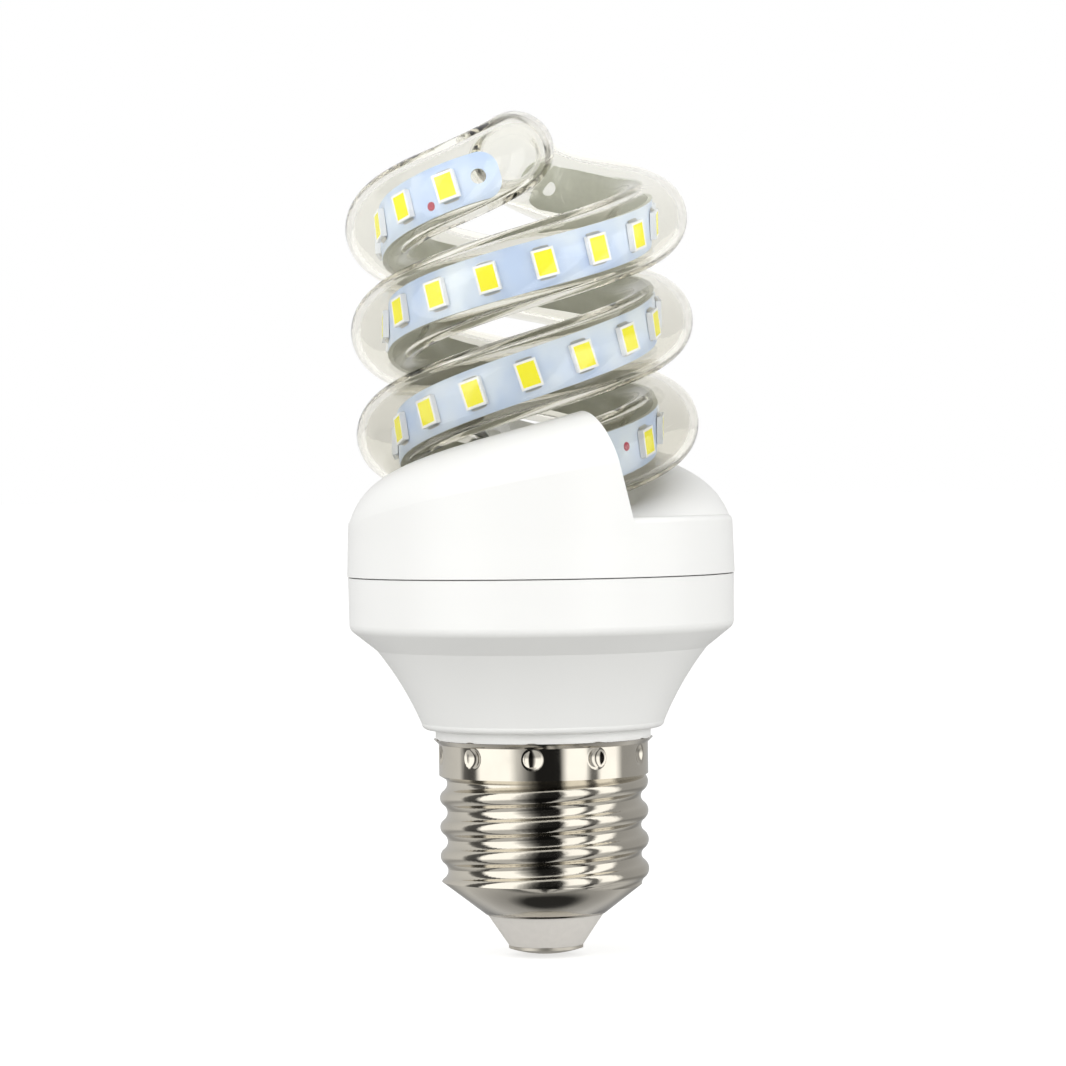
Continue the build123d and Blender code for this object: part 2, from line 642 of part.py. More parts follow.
spiral_tube.part.label = "spiral_tube"
export_step(spiral_tube.part, "parts/spiral_tube.step")
upper_cap.part.label = "upper_cap"
export_step(upper_cap.part, "parts/upper_cap.step")
lower_housing.part.label = "lower_housing"
export_step(lower_housing.part, "parts/lower_housing.step")
screw_shell.part.label = "screw_shell"
export_step(screw_shell.part, "parts/screw_shell.step")
cap_insulator.part.label = "cap_insulator"
export_step(cap_insulator.part, "parts/cap_insulator.step")
centre_contact.part.label = "centre_contact"
export_step(centre_contact.part, "parts/centre_contact.step")
driver_board.part.label = "driver_board"
export_step(driver_board.part, "parts/driver_board.step")
bulk_capacitor.part.label = "bulk_capacitor"
export_step(bulk_capacitor.part, "parts/bulk_capacitor.step")
choke_core.part.label = "choke_core"
export_step(choke_core.part, "parts/choke_core.step")
choke_winding.part.label = "choke_winding"
export_step(choke_winding.part, "parts/choke_winding.step")
film_capacitor.part.label = "film_capacitor"
export_step(film_capacitor.part, "parts/film_capacitor.step")
fuse_resistor.part.label = "fuse_resistor"
export_step(fuse_resistor.part, "parts/fuse_resistor.step")
bridge_rectifier.part.label = "bridge_rectifier"
export_step(bridge_rectifier.part, "parts/bridge_rectifier.step")
driver_chip.part.label = "driver_chip"
export_step(driver_chip.part, "parts/driver_chip.step")
output_diode.part.label = "output_diode"
export_step(output_diode.part, "parts/output_diode.step")
chip_resistors.part.label = "chip_resistors"
export_step(chip_resistors.part, "parts/chip_resistors.step")
live_lead.part.label = "live_lead"
export_step(live_lead.part, "parts/live_lead.step")
neutral_lead.part.label = "neutral_lead"
export_step(neutral_lead.part, "parts/neutral_lead.step")
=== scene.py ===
"""Looks of a spiral LED bulb: glass, boards, mouldings, screw cap, driver and a plain studio."""

import bmesh
import bpy
import numpy as np
from bpy.props import FloatProperty, FloatVectorProperty, PointerProperty
from mathutils import Matrix, Vector


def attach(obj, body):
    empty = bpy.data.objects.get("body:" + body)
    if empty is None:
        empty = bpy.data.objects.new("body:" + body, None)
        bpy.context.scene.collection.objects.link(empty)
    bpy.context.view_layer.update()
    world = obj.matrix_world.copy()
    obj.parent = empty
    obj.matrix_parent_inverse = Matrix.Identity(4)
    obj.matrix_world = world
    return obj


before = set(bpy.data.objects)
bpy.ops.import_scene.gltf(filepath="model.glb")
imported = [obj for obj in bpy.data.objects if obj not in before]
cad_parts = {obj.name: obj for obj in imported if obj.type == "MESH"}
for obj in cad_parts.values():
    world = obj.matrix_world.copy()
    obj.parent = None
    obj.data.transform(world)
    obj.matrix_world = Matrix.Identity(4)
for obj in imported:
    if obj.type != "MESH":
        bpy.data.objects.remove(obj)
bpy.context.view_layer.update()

bl_info = {
    "name": "Spiral LED bulb",
    "version": (1, 0, 0),
    "blender": (4, 5, 0),
    "location": "3D View > Sidebar > Bulb",
    "description": "Materials, board details and studio for a spiral LED bulb",
    "category": "Object",
}

MM = 0.001
MERGE = 0.001 * MM  # points of an added piece that are closer than this are one

# The LED boards' path inside the tube, in millimetres and degrees, as the solids have it
COIL_RADIUS = 16.4
COIL_PITCH = 25.68
COIL_TURN = 481.0
COIL_LIFT = 0.25
MOUTH_ANGLE = 24.0
MOUTH_HEIGHT = 60.56
TUBE_SHIFT = -1.2
TUBE_LEAN = np.radians(-2.4)
BOARD_OFFSET = -0.1
BOARD_THICKNESS = 0.6
BOARD_END_RADIUS = 10.0
BOARD_END_TURN = np.radians(50.0)
BOARD_LEAN = np.radians(1.8)
BOARD_PIVOT = 39.65 / 2
LED_FIRST = 6.5
LED_PITCH = 6.95
LED_COUNT = 20
LED_LENGTH = 3.5
LED_WIDTH = 2.8

# Polarity dots: places along a board, in LED pitches from its first LED, and millimetres across it
DOT_PLACES = np.array([0.42, LED_COUNT - 0.45])
DOT_OFFSETS = np.array([-1.5, 0.4])
DOT_LIFT = 0.03  # ink over the board
DOT_SINK = 0.05  # drop of the ink's edge, into the board

# Solder at the LED packages' ends, in millimetres, or as a share where it says so
SOLDER_GAP = 0.01  # from the package
SOLDER_LIFT = 0.02  # over the board
SOLDER_RISE = 0.42  # up the package
SOLDER_SPREAD = 0.36  # half of its width, as a share of the package's
SOLDER_TAPER = 0.25  # share of its reach that is lost at its corners
SOLDER_DROOP = 0.35  # share of its rise that is lost at its corners

# Heights in millimetres of the glass's painted shade: greyest at the first and clearest at the
# second
TUBE_SHADE_SPAN = (66.0, 103.0)

# The screw shell's coned end: its heights in millimetres, and how far it is shaded as swollen
SHELL_END = (5.3, 9.3)
SHELL_SWELL = 0.43

# What the metal sees round the room: degrees from the front, growing to +X, and a share of white
ROOM = (
    (-90, 0.06), (-81, 0.06), (-74, 1.0), (-38, 1.0), (-28, 0.45), (-16, 0.10), (-8, 0.01),
    (18, 0.01), (26, 1.0), (46, 1.0), (53, 0.12), (60, 0.12), (66, 1.0), (86, 1.0), (96, 0.26),
    (180, 0.34), (255, 0.50), (262, 0.10), (270, 0.06),
)
ROOM_WHITE = 1.5
# It dims from the first height of a direction down to the second, where -1 is straight down
ROOM_DIM = (-0.12, -0.40)
ROOM_DIM_SHARE = 0.42
# Between these heights it gives way to a plain ceiling
CEILING = (0.80, 0.95)
CEILING_LEVEL = 0.9
# Under the bulb and towards the back it gives way to grey with a dark patch in one direction:
# the heights and the depths of that change, then closeness to the patch and a share of white
UNDER_HEIGHT = (-0.30, -0.60)
UNDER_DEPTH = (-0.10, 0.15)
DARK_PATCH = (0.03, 0.32, -0.947)
UNDER = ((0.78, 0.62), (0.94, 0.36), (0.98, 0.03))
# What the glass mirrors beyond plain white: how much brighter the room's white boxes are,
# the share of white from which a place is a box, and the heights at which the boxes end
BOX_SHINE = 4.0
BOX_WHITE = 0.6
BOX_TOP = (0.55, 0.40)
ROOM_LIGHT = 0.84  # the room's level as plain light

FLOOR_SHADE = (0.55, 0.55, 0.54, 1.0)
FLOOR_GLOW = 0.62
FLOOR_HALF = 6.0
FLOOR_HEIGHT = -0.0002

# Soft boxes: name, place and size in metres, watts, and the point that all of them face
LAMPS = (
    ("key_left", (-0.66, -0.60, 0.40), (0.45, 1.0), 3.9),
    ("key_right", (0.74, -0.55, 0.22), (0.80, 0.7), 4.0),
    ("top", (0.0, -0.05, 1.0), (0.9, 0.9), 0.2),
)
LAMP_AIM = (0.0, 0.0, 0.055)

# Picture: side, the bulb's axis and the eye's level in pixels, pixels to a metre at the axis
IMAGE = 1066.0
IMAGE_AXIS = 539.35
IMAGE_EYE = 457.0
IMAGE_SCALE = 8000.0
SENSOR = 36.0
EYE_ROLL = np.radians(0.8)

# Sockets of a Mix node that go by number, because its colours share their names with its floats
COLOUR_A, COLOUR_B, COLOUR_OUT = 6, 7, 2


def linear(code):
    """Linear colour of an sRGB hex value, with full alpha."""
    srgb = np.array([int(code[i:i + 2], 16) for i in (1, 3, 5)]) / 255
    channels = np.where(srgb <= 0.04045, srgb / 12.92, ((srgb + 0.055) / 1.055) ** 2.4)
    return (*[float(c) for c in channels], 1.0)


def darker(colour, share):
    """Darker tone of a linear colour, with full alpha."""
    return [c * share for c in colour[:3]] + [1.0]


def tint(code, label, description):
    """Colour property with an sRGB hex value as its default."""
    return FloatVectorProperty(
        name=label, description=description, subtype="COLOR", size=4, min=0.0, max=1.0,
        default=linear(code),
    )


class BulbColours(bpy.types.PropertyGroup):
    """Colours of the bulb's materials"""

    glass: tint("#FAFAF7", "Glass", "Tint of the glass tube's top")
    # The lower turns' greyer tint is painted shade
    glass_low_shade: tint("#E8E7E2", "Glass, low", "Tint of the glass tube's lower turns")
    moulding: tint("#F4F4F2", "Mouldings", "White of the cap and the housing")
    nickel: tint("#E0DACD", "Nickel", "Plating of the screw shell and the contact")
    insulator: tint("#F1EDE7", "Insulator", "Insulator between shell and contact")
    mask: tint("#BACEF2", "Board", "Solder mask of the LED boards, where it is thick")
    # The thin mask's paler white is partly uneven mask and partly painted highlight
    mask_thin_and_sheen: tint(
        "#DEE9F8", "Board, thin mask", "Solder mask of the LED boards, where it is thin")
    metal: tint("#D9DBD0", "Board metal", "Bare aluminium at the back of the LED boards")
    package: tint("#F5F7FC", "LED package", "Frame of the LED packages")
    phosphor: tint("#FFF80A", "Phosphor", "Phosphor fill of the LED packages")
    mark: tint("#B0304A", "Mark", "Polarity dots on the LED boards")


class BulbSizes(bpy.types.PropertyGroup):
    """Sizes of the small board details and of the view"""

    dot_width: FloatProperty(
        name="Dot", description="Diameter of a polarity dot",
        default=1.15 * MM, unit="LENGTH", precision=5,
    )
    dot_height: FloatProperty(
        name="Dot height", description="Thickness of a dot's ink",
        default=0.06 * MM, unit="LENGTH", precision=5,
    )
    solder_reach: FloatProperty(
        name="Solder", description="Reach of the solder beyond a package",
        default=0.3 * MM, unit="LENGTH", precision=5,
    )
    eye_distance: FloatProperty(
        name="Eye distance", description="Camera to the lamp's axis",
        default=0.54, unit="LENGTH",
    )
    eye_height: FloatProperty(
        name="Eye height", description="Camera above the contact's tip",
        default=0.062, unit="LENGTH",
    )


def node(tree, kind, inputs=None, **settings):
    """Adds a node, with its settings, and its inputs set to values or linked to other outputs."""
    made = tree.nodes.new(kind)
    for key, value in settings.items():
        setattr(made, key, value)
    for key, value in (inputs or {}).items():
        if isinstance(value, bpy.types.NodeSocket):
            tree.links.new(value, made.inputs[key])
        else:
            made.inputs[key].default_value = value
    return made


def blank(name):
    """New material with an empty node tree, and its Object coordinates."""
    material = bpy.data.materials.new(name)
    material.use_nodes = True
    tree = material.node_tree
    tree.nodes.clear()
    return material, tree, node(tree, "ShaderNodeTexCoord").outputs["Object"]


def close(tree, shader):
    """Links a shader to the material's output."""
    node(tree, "ShaderNodeOutputMaterial", {"Surface": shader.outputs[0]})


def drawn_glass(colours):
    """Soda-lime glass tube, drawn and bent hot: clear, faintly warm grey, with a wavy wall, greyer
    low down as painted shade.
    """
    material, tree, place = blank("soda_lime_glass_drawn")
    # The wall's thickness wanders over about 9 mm, which bends what is seen through it a little
    wave = node(tree, "ShaderNodeTexNoise", {
        "Vector": place, "Scale": 1 / (9 * MM), "Detail": 1.0})
    bump = node(tree, "ShaderNodeBump", {
        "Height": wave.outputs[0], "Strength": 0.03, "Distance": 0.3 * MM})
    # Painted shade: the top is the clearest, and the lower turns are tinted a little greyer
    height = node(tree, "ShaderNodeSeparateXYZ", {0: place}).outputs["Z"]
    share = node(tree, "ShaderNodeMapRange", {
        "Value": height, "From Min": TUBE_SHADE_SPAN[0] * MM, "From Max": TUBE_SHADE_SPAN[1] * MM})
    tone = node(tree, "ShaderNodeMix", {
        0: share.outputs[0], COLOUR_A: colours.glass_low_shade, COLOUR_B: colours.glass,
    }, data_type="RGBA")
    # Such a thin wall hardly shifts what is behind it, so the IOR is far below the real 1.52,
    # and the coat has the real glass's reflections
    surface = node(tree, "ShaderNodeBsdfPrincipled", {
        "Base Color": tone.outputs[COLOUR_OUT], "Roughness": 0.0, "IOR": 1.08,
        "Transmission Weight": 1.0, "Coat Weight": 0.35, "Coat IOR": 1.5, "Coat Roughness": 0.0,
        "Normal": bump.outputs[0],
    })
    # Iron in the glass takes light over every millimetre, so the edges are no paler than the middle
    body = node(tree, "ShaderNodeVolumeAbsorption", {
        "Color": (0.57, 0.51, 0.30, 1.0), "Density": 32.0})
    node(tree, "ShaderNodeOutputMaterial", {
        "Surface": surface.outputs[0], "Volume": body.outputs[0]})
    return material


def moulded_pbt(colours):
    """PBT, injection moulded in a spark-eroded mould: warm white, soft gloss, barely uneven."""
    material, tree, place = blank("white_pbt_moulded")
    # Flow of the melt shows as a faint drift of tone over about 25 mm
    flow = node(tree, "ShaderNodeTexNoise", {
        "Vector": place, "Scale": 1 / (25 * MM), "Detail": 2.0})
    tone = node(tree, "ShaderNodeMix", {
        0: flow.outputs[0], COLOUR_A: darker(colours.moulding, 0.965), COLOUR_B: colours.moulding,
    }, data_type="RGBA")
    # The mould's grain is 0.15 mm in life, and is drawn at 0.4 mm so that it shows
    grain = node(tree, "ShaderNodeTexNoise", {
        "Vector": place, "Scale": 1 / (0.4 * MM), "Detail": 2.0})
    gloss = node(tree, "ShaderNodeMapRange", {
        "Value": grain.outputs[0], "To Min": 0.30, "To Max": 0.42})
    bump = node(tree, "ShaderNodeBump", {
        "Height": grain.outputs[0], "Strength": 0.12, "Distance": 0.02 * MM})
    close(tree, node(tree, "ShaderNodeBsdfPrincipled", {
        "Base Color": tone.outputs[COLOUR_OUT], "Roughness": gloss.outputs[0], "IOR": 1.5,
        "Normal": bump.outputs[0],
    }))
    return material


def plated_nickel(colours):
    """Bright nickel plate on rolled sheet: warm mirror, fine lines round the axis, some wear."""
    material, tree, place = blank("nickel_plate_rolled")
    # Rolling lines run level round the shell, and change over about 17 mm along their length:
    # they are 0.1 mm apart in life, and are drawn 0.35 mm apart so that they show
    stretch = node(tree, "ShaderNodeMapping", {
        "Vector": place, "Scale": (60.0, 60.0, 1 / (0.35 * MM))})
    lines = node(tree, "ShaderNodeTexNoise", {
        "Vector": stretch.outputs[0], "Scale": 1.0, "Detail": 3.0})
    # Wear dulls and darkens patches of about 4 mm
    wear = node(tree, "ShaderNodeTexNoise", {
        "Vector": place, "Scale": 1 / (4 * MM), "Detail": 4.0})
    gloss = node(tree, "ShaderNodeMapRange", {
        "Value": wear.outputs[0],
        "From Min": 0.35, "From Max": 0.75, "To Min": 0.06, "To Max": 0.15,
    })
    tone = node(tree, "ShaderNodeMix", {
        0: wear.outputs[0], COLOUR_A: colours.nickel, COLOUR_B: darker(colours.nickel, 0.86),
    }, data_type="RGBA")
    # Spinning leaves the coned end a little swollen: a parabola over its height, 0 at both edges
    height = node(tree, "ShaderNodeSeparateXYZ", {0: place}).outputs["Z"]
    share = node(tree, "ShaderNodeMapRange", {
        "Value": height, "From Min": SHELL_END[0] * MM, "From Max": SHELL_END[1] * MM}).outputs[0]
    rest = node(tree, "ShaderNodeMath", {0: 1.0, 1: share}, operation="SUBTRACT").outputs[0]
    swell = node(tree, "ShaderNodeMath", {0: share, 1: rest}, operation="MULTIPLY").outputs[0]
    end = node(tree, "ShaderNodeBump", {
        "Height": swell, "Strength": 1.0, "Distance": 4 * SHELL_SWELL * MM})
    bump = node(tree, "ShaderNodeBump", {
        "Height": lines.outputs[0], "Strength": 0.10, "Distance": 0.02 * MM,
        "Normal": end.outputs[0],
    })
    close(tree, node(tree, "ShaderNodeBsdfPrincipled", {
        "Base Color": tone.outputs[COLOUR_OUT], "Metallic": 1.0, "Roughness": gloss.outputs[0],
        "Normal": bump.outputs[0],
    }))
    return material


def masked_board(colours):
    """Aluminium board, white solder mask on its outer face: satin cool white, bare grey behind."""
    material, tree, place = blank("solder_mask_on_aluminium")
    # The mask is rolled on along the strip and lies unevenly, over about 8 mm, and its paler patches
    # are also painted highlights
    cloud = node(tree, "ShaderNodeTexNoise", {
        "Vector": place, "Scale": 1 / (8 * MM), "Detail": 3.0})
    cover = node(tree, "ShaderNodeMapRange", {
        "Value": cloud.outputs[0], "From Min": 0.38, "From Max": 0.68})
    white = node(tree, "ShaderNodeMix", {
        0: cover.outputs[0], COLOUR_A: colours.mask, COLOUR_B: colours.mask_thin_and_sheen}, data_type="RGBA")
    # The outer face is the one whose normal points away from the lamp's axis
    level = node(tree, "ShaderNodeMapping", {"Vector": place, "Scale": (1.0, 1.0, 0.0)})
    radial = node(tree, "ShaderNodeVectorMath", {0: level.outputs[0]}, operation="NORMALIZE")
    normal = node(tree, "ShaderNodeNewGeometry").outputs["Normal"]
    facing = node(tree, "ShaderNodeVectorMath", {
        0: normal, 1: radial.outputs[0]}, operation="DOT_PRODUCT")
    outer = node(tree, "ShaderNodeMapRange", {
        "Value": facing.outputs["Value"], "From Min": 0.25, "From Max": 0.35})
    # Rolled aluminium has a grain about 0.2 mm wide, drawn at 0.5 mm so that it shows
    grain = node(tree, "ShaderNodeTexNoise", {
        "Vector": place, "Scale": 1 / (0.5 * MM), "Detail": 2.0})
    bare = node(tree, "ShaderNodeMix", {
        0: grain.outputs[0], COLOUR_A: darker(colours.metal, 0.85), COLOUR_B: colours.metal,
    }, data_type="RGBA")
    tone = node(tree, "ShaderNodeMix", {
        0: outer.outputs[0],
        COLOUR_A: bare.outputs[COLOUR_OUT], COLOUR_B: white.outputs[COLOUR_OUT],
    }, data_type="RGBA")
    gloss = node(tree, "ShaderNodeMapRange", {
        "Value": outer.outputs[0], "To Min": 0.55, "To Max": 0.36})
    bump = node(tree, "ShaderNodeBump", {
        "Height": grain.outputs[0], "Strength": 0.15, "Distance": 0.01 * MM})
    close(tree, node(tree, "ShaderNodeBsdfPrincipled", {
        "Base Color": tone.outputs[COLOUR_OUT], "Roughness": gloss.outputs[0], "IOR": 1.5,
        "Normal": bump.outputs[0],
    }))
    return material


def speckled(name, colour, roughness, size, depth=0.8, metallic=0.0):
    """Plain solid material with a fine grain: its tone wanders to a darker one over a size."""
    material, tree, place = blank(name)
    grain = node(tree, "ShaderNodeTexNoise", {"Vector": place, "Scale": 1 / size, "Detail": 3.0})
    tone = node(tree, "ShaderNodeMix", {
        0: grain.outputs[0], COLOUR_A: darker(colour, depth), COLOUR_B: colour}, data_type="RGBA")
    bump = node(tree, "ShaderNodeBump", {
        "Height": grain.outputs[0], "Strength": 0.2, "Distance": size / 20})
    close(tree, node(tree, "ShaderNodeBsdfPrincipled", {
        "Base Color": tone.outputs[COLOUR_OUT], "Metallic": metallic, "Roughness": roughness,
        "Normal": bump.outputs[0],
    }))
    return material


def dress(material, *names):
    """Gives CAD nodes a material."""
    for name in names:
        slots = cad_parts[name].data.materials
        slots.clear()
        slots.append(material)


def tilt(angle):
    """Turn about the Y axis by an angle in radians."""
    c, s = np.cos(angle), np.sin(angle)
    return np.array([[c, 0, s], [0, 1, 0], [-s, 0, c]])


def board_frame(from_top, strip):
    """Middle, tangent and outward direction of a board, at lengths from its top end, in mm.

    The board follows a helix, radius R and pitch P, and leaves it at the top on an arc in the plane
    of the helix's tangent and the radius. Strip 1 is that path, strip 2 is the same path turned half
    round. Each lies askew about a point on the tube's axis, one to each side, and both lean and
    shift with the tube.
    """
    s = np.asarray(from_top, dtype=float)[:, None]
    radius = COIL_RADIUS + BOARD_OFFSET
    arc_length = BOARD_END_RADIUS * BOARD_END_TURN
    lap = np.hypot(2 * np.pi * radius, COIL_PITCH)
    turn = np.radians(np.minimum(COIL_TURN, COIL_TURN - 360 * (s - arc_length) / lap))
    angle = turn + np.radians(MOUTH_ANGLE)
    out = np.hstack([np.sin(angle), -np.cos(angle), 0 * angle])
    level = np.hstack([np.cos(angle), np.sin(angle), 0 * angle])
    rise = np.array([0, 0, COIL_PITCH])
    along = (2 * np.pi * radius * level + rise) / lap
    up = np.array([0, 0, 1])
    middle = radius * out + up * (COIL_LIFT + COIL_PITCH * turn / (2 * np.pi))
    bend = np.maximum(0, arc_length - s) / BOARD_END_RADIUS
    outward = out * np.cos(bend) + along * np.sin(bend)
    tangent = along * np.cos(bend) - out * np.sin(bend)
    middle = middle + BOARD_END_RADIUS * (outward - out)
    half = 1.0 if strip == 1 else -1.0
    turned = tilt(half * BOARD_LEAN) @ np.diag([half, half, 1.0])
    pivot = np.array([0, 0, BOARD_PIVOT])
    lean = tilt(TUBE_LEAN)
    place = lean @ turned
    shift = lean @ (pivot - turned @ pivot) + np.array([TUBE_SHIFT, 0, MOUTH_HEIGHT])
    return middle @ place.T + shift, tangent @ place.T, outward @ place.T


def patch_grid(points, rows, columns):
    """Quads of many grids of points, each rows by columns, as vertices and faces."""
    count = len(points)
    corner = np.arange(rows - 1)[:, None] * columns + np.arange(columns - 1)[None, :]
    quads = np.stack([corner, corner + 1, corner + columns + 1, corner + columns], axis=-1)
    starts = np.arange(count) * rows * columns
    faces = quads.reshape(-1, 4)[None] + starts[:, None, None]
    return points.reshape(-1, 3), faces.reshape(-1, 4)


def add_piece(name, points, faces, material):
    """Mesh at the origin from points in metres, seams and poles merged, riding on the bulb."""
    mesh = bpy.data.meshes.new(name)
    mesh.from_pydata(points.tolist(), [], faces.tolist())
    merged = bmesh.new()
    merged.from_mesh(mesh)
    bmesh.ops.remove_doubles(merged, verts=merged.verts, dist=MERGE)
    merged.to_mesh(mesh)
    merged.free()
    mesh.materials.append(material)
    mesh.validate()
    mesh.polygons.foreach_set("use_smooth", np.ones(len(mesh.polygons), dtype=bool))
    piece = bpy.data.objects.new(name, mesh)
    bpy.context.scene.collection.objects.link(piece)
    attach(piece, "root")


class BULB_OT_glass(bpy.types.Operator):
    """Gives the spiral tube its glass"""

    bl_idname = "bulb.glass"
    bl_label = "Glass tube"

    def execute(self, context):
        dress(drawn_glass(context.scene.bulb_colours), "spiral_tube")
        return {"FINISHED"}


class BULB_OT_mouldings(bpy.types.Operator):
    """Gives the cap, the housing and the seals their plastic and silicone"""

    bl_idname = "bulb.mouldings"
    bl_label = "White mouldings"

    def execute(self, context):
        dress(moulded_pbt(context.scene.bulb_colours), "upper_cap", "lower_housing")
        silicone = speckled("white_silicone", linear("#E9E9E4"), 0.55, 1.5 * MM, 0.92)
        dress(silicone, "tube_seal_1", "tube_seal_2")
        return {"FINISHED"}


class BULB_OT_screw_cap(bpy.types.Operator):
    """Gives the screw shell, the contact and the insulator their finishes"""

    bl_idname = "bulb.screw_cap"
    bl_label = "Screw cap"

    def execute(self, context):
        colours = context.scene.bulb_colours
        dress(plated_nickel(colours), "screw_shell")
        # The contact's plate is left dull, so it shows the room only as a soft grey
        dull = speckled("nickel_plate_dull", colours.nickel, 0.45, 0.6 * MM, 0.92, metallic=1.0)
        dress(dull, "centre_contact")
        # The insulator is pressed from a filled resin: off-white, half matt
        resin = speckled("thermoset_insulator", colours.insulator, 0.5, 0.8 * MM, 0.9)
        dress(resin, "cap_insulator")
        return {"FINISHED"}


class BULB_OT_led_boards(bpy.types.Operator):
    """Gives the LED boards, packages and phosphor their finishes"""

    bl_idname = "bulb.led_boards"
    bl_label = "LED boards"

    def execute(self, context):
        colours = context.scene.bulb_colours
        dress(masked_board(colours), "led_strip_1", "led_strip_2")
        # The packages are moulded in bright white plastic, and the fill's grains clump over 0.12 mm
        package = speckled("ppa_package", colours.package, 0.4, 0.5 * MM, 0.95)
        dress(package, "led_packages_1", "led_packages_2")
        phosphor = speckled("phosphor_in_silicone", colours.phosphor, 0.25, 0.12 * MM, 0.9)
        dress(phosphor, "led_phosphors_1", "led_phosphors_2")
        return {"FINISHED"}


class BULB_OT_board_details(bpy.types.Operator):
    """Adds the polarity dots and the solder at the LED packages' ends"""

    bl_idname = "bulb.board_details"
    bl_label = "Dots and solder"

    def execute(self, context):
        colours = context.scene.bulb_colours
        sizes = context.scene.bulb_sizes
        ink = speckled("marking_ink", colours.mark, 0.5, 0.3 * MM, 0.85)
        tin = speckled("tin_solder", linear("#C9C9C6"), 0.28, 0.3 * MM, 0.8, metallic=1.0)
        for strip in (1, 2):
            self.dots(strip, sizes, ink)
            self.solder(strip, sizes, tin)
        return {"FINISHED"}

    def dots(self, strip, sizes, ink):
        """Low round drops of ink: a disc whose height falls with the fourth power of its radius.

        The first parameter grows with the radius, the second goes round, and the edge is sunk.
        """
        middle, tangent, outward = board_frame(LED_FIRST + LED_PITCH * DOT_PLACES, strip)
        across = np.cross(outward, tangent)
        reach, swing = np.meshgrid(
            np.linspace(0, 1, 7), np.linspace(2 * np.pi, 0, 33), indexing="ij")
        radius = sizes.dot_width / MM / 2 * reach
        drop = sizes.dot_height / MM * (1 - reach**4) - DOT_SINK * (reach > 0.99)
        height = BOARD_THICKNESS / 2 + DOT_LIFT + drop
        local = np.stack([radius * np.cos(swing), radius * np.sin(swing), height], axis=-1)
        axes = np.stack([tangent, across, outward], axis=1)
        centre = middle + DOT_OFFSETS[:, None] * across
        points = centre[:, None, None, :] + np.einsum("ijk,nkl->nijl", local, axes)
        points, faces = patch_grid(points * MM, *reach.shape)
        add_piece(f"polarity_dots_{strip}", points, faces, ink)

    def solder(self, strip, sizes, tin):
        """Solder fillets: a hollow quarter-round falls from a package's end to the board.

        The first parameter goes down the fall, as one less its sine, the second along the width.
        """
        places = LED_FIRST + LED_PITCH * np.arange(LED_COUNT)
        middle, tangent, outward = board_frame(places, strip)
        across = np.cross(outward, tangent)
        fall, width = np.meshgrid(np.linspace(0, 1, 7), np.linspace(-1, 1, 9), indexing="ij")
        reach = sizes.solder_reach / MM * fall * (1 - SOLDER_TAPER * width**4)
        side = LED_LENGTH / 2 + SOLDER_GAP + reach
        rise = SOLDER_RISE * (1 - np.sin(fall * np.pi / 2)) * (1 - SOLDER_DROOP * width**2)
        height = BOARD_THICKNESS / 2 + SOLDER_LIFT + rise
        spread = width * LED_WIDTH * SOLDER_SPREAD
        axes = np.stack([tangent, across, outward], axis=1)
        both = []
        for end in (1, -1):
            local = np.stack([spread * end, side * end, height], axis=-1)
            both.append(middle[:, None, None, :] + np.einsum("ijk,nkl->nijl", local, axes))
        points, faces = patch_grid(np.concatenate(both) * MM, *fall.shape)
        add_piece(f"led_solder_{strip}", points, faces, tin)


class BULB_OT_driver(bpy.types.Operator):
    """Gives the driver inside the housing its finishes"""

    bl_idname = "bulb.driver"
    bl_label = "Driver"

    def execute(self, context):
        dress(speckled("fr4_green_mask", linear("#2E6B3E"), 0.4, 2 * MM), "driver_board")
        dress(speckled("shrink_sleeve", linear("#23252B"), 0.35, 3 * MM), "bulk_capacitor")
        epoxy = speckled("moulded_epoxy", linear("#1E1E1E"), 0.6, 0.3 * MM)
        dress(epoxy, "bridge_rectifier", "driver_chip", "output_diode", "chip_resistors")
        dress(speckled("sintered_ferrite", linear("#3A3A3A"), 0.7, 0.4 * MM), "choke_core")
        copper = speckled("enamelled_copper", linear("#B4693C"), 0.3, 0.35 * MM, 0.7, metallic=1.0)
        dress(copper, "choke_winding")
        dress(speckled("dipped_resin", linear("#D9A625"), 0.3, 2 * MM), "film_capacitor")
        dress(speckled("cement_coat", linear("#6F8574"), 0.7, 0.5 * MM), "fuse_resistor")
        white_pvc = speckled("pvc_white", linear("#E4E4E0"), 0.45, 1 * MM, 0.9)
        dress(white_pvc, "strip_leads_1", "strip_leads_2")
        dress(speckled("pvc_red", linear("#B02A22"), 0.45, 1 * MM), "live_lead")
        dress(speckled("pvc_black", linear("#202020"), 0.45, 1 * MM), "neutral_lead")
        return {"FINISHED"}


